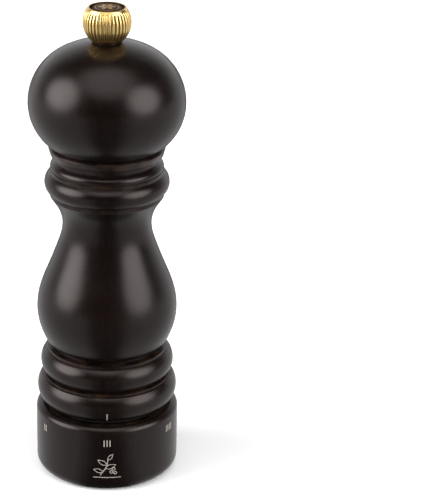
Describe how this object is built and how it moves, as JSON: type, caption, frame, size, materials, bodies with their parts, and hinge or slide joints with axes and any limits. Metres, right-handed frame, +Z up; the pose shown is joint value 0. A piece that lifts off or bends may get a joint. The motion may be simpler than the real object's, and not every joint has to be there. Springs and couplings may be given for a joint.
{
  "type": "pepper mill",
  "caption": "Turned dark wooden pepper mill: ball head, ribbed brass knob, pear body, click ring at the foot that sets the grind, steel grinding cone and ring.",
  "frame": {"origin": "on the mill's axis, at the underside of the click ring, where it stands on the table", "axes": "+Z up along the axis to the knob; -Y towards the front, where the index mark is; +X to the right seen from the front"},
  "size_m": [0.057, 0.057, 0.18],
  "materials": {
    "dark_beech": "satin lacquer over dark stain",
    "black_plastic": "moulded, matt",
    "bearing_nylon": "natural nylon",
    "zinc_steel": "zinc plated",
    "bright_steel": "bright drawn",
    "hardened_steel": "case hardened, oiled",
    "polished_brass": "polished",
    "aged_brass": "aged, with an engraved motif"
  },
  "bodies": {
    "body": {"body_shell": "dark_beech", "mechanism_housing": "black_plastic", "flange_screws": "zinc_steel", "shaft_guide": "black_plastic", "grinding_ring": "hardened_steel", "stator_clip": "bright_steel", "click_spring": "bright_steel", "retaining_plate": "bright_steel", "plate_screws": "zinc_steel"},
    "click_ring": {"base_ring": "dark_beech", "adjuster_ring": "black_plastic"},
    "bridge": {"thrust_bridge": "black_plastic", "thrust_washer": "bearing_nylon"},
    "spindle": {"drive_shaft": "bright_steel", "shaft_clip": "bright_steel", "shaft_washer": "bright_steel", "spring_seat": "bright_steel", "rotor_spring": "bright_steel"},
    "cone": {"grinding_cone": "hardened_steel"},
    "head": {"head_shell": "dark_beech", "drive_plate": "bright_steel", "drive_plate_screws": "zinc_steel"},
    "washer": {"knob_washer": "black_plastic"},
    "knob": {"knob_shell": "polished_brass", "knob_disc": "aged_brass", "knob_lock_insert": "bearing_nylon"}
  },
  "joints": [
    {"name": "click_ring_turn", "type": "hinge", "parent": "body", "child": "click_ring", "pos_m": [0, 0, 0], "axis": [0, 0, 1], "range_deg": [-180, 120]},
    {"name": "bridge_lift", "type": "slide", "parent": "body", "child": "bridge", "axis": [0, 0, 1], "range_m": [-0.00152, 0.00102]},
    {"name": "spindle_turn", "type": "hinge", "parent": "body", "child": "spindle", "pos_m": [0, 0, 0], "axis": [0, 0, 1], "continuous": true},
    {"name": "cone_lift", "type": "slide", "parent": "spindle", "child": "cone", "axis": [0, 0, 1], "range_m": [-0.00152, 0.00102], "deforming": ["rotor_spring"]},
    {"name": "head_lift", "type": "slide", "parent": "spindle", "child": "head", "axis": [0, 0, 1], "range_m": [0, 0.065]},
    {"name": "knob_rise", "type": "slide", "parent": "head", "child": "washer", "axis": [0, 0, 1], "range_m": [0, 0.00882]},
    {"name": "knob_turn", "type": "hinge", "parent": "washer", "child": "knob", "pos_m": [0, 0, 0], "axis": [0, 0, 1], "range_deg": [0, 3960]}
  ],
  "couplings": [
    {"joint": "bridge_lift", "follows": "click_ring_turn", "m_per_rad": 0.00047746},
    {"joint": "cone_lift", "follows": "click_ring_turn", "m_per_rad": 0.00047746},
    {"joint": "knob_rise", "follows": "knob_turn", "m_per_rad": 0.00012732}
  ]
}
